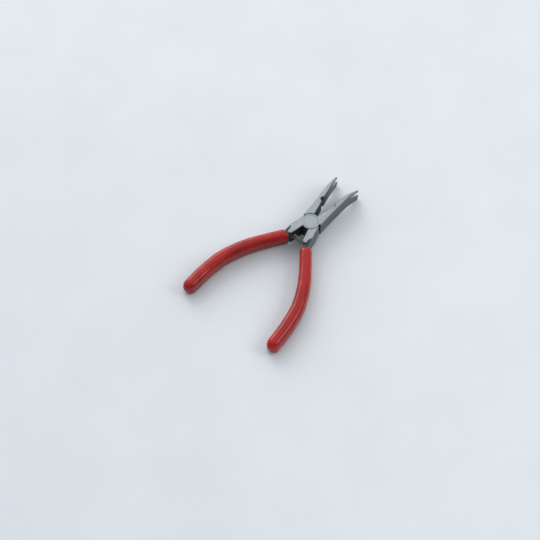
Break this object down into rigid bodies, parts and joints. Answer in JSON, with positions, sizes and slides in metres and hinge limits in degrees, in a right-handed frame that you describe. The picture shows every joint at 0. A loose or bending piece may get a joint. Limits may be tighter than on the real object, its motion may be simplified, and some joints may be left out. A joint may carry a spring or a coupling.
{
  "type": "crimping pliers",
  "caption": "Long-nose crimping pliers with bent, slotted tips, facing half-round crimp notches, a riveted lap joint, a return spring and dipped soft grips.",
  "frame": {"origin": "where the pivot axis meets the flat underside of the joint", "axes": "+Z along the pivot axis, up when the tool lies flat; +Y from the pivot towards the jaw tips, midway between the jaws; +X to the right"},
  "size_m": [0.0792, 0.1349, 0.0161],
  "materials": {
    "tool_steel": "ground flats, dark satin sides",
    "rivet_steel": "ground flush",
    "spring_steel": "bright wire",
    "dipped_vinyl": "glossy dipped"
  },
  "bodies": {
    "lower_half": {"left_jaw_lever": "tool_steel", "pivot_rivet": "rivet_steel", "return_spring": "spring_steel", "right_grip": "dipped_vinyl"},
    "upper_half": {"right_jaw_lever": "tool_steel", "left_grip": "dipped_vinyl"}
  },
  "joints": [
    {"name": "pivot", "type": "hinge", "parent": "lower_half", "child": "upper_half", "pos_m": [0, 0, 0.0063], "axis": [0, 0, 1], "range_deg": [-15.2, 22.35], "stiffness_Nm_per_rad": 0.2, "deforming": ["return_spring"]}
  ]
}
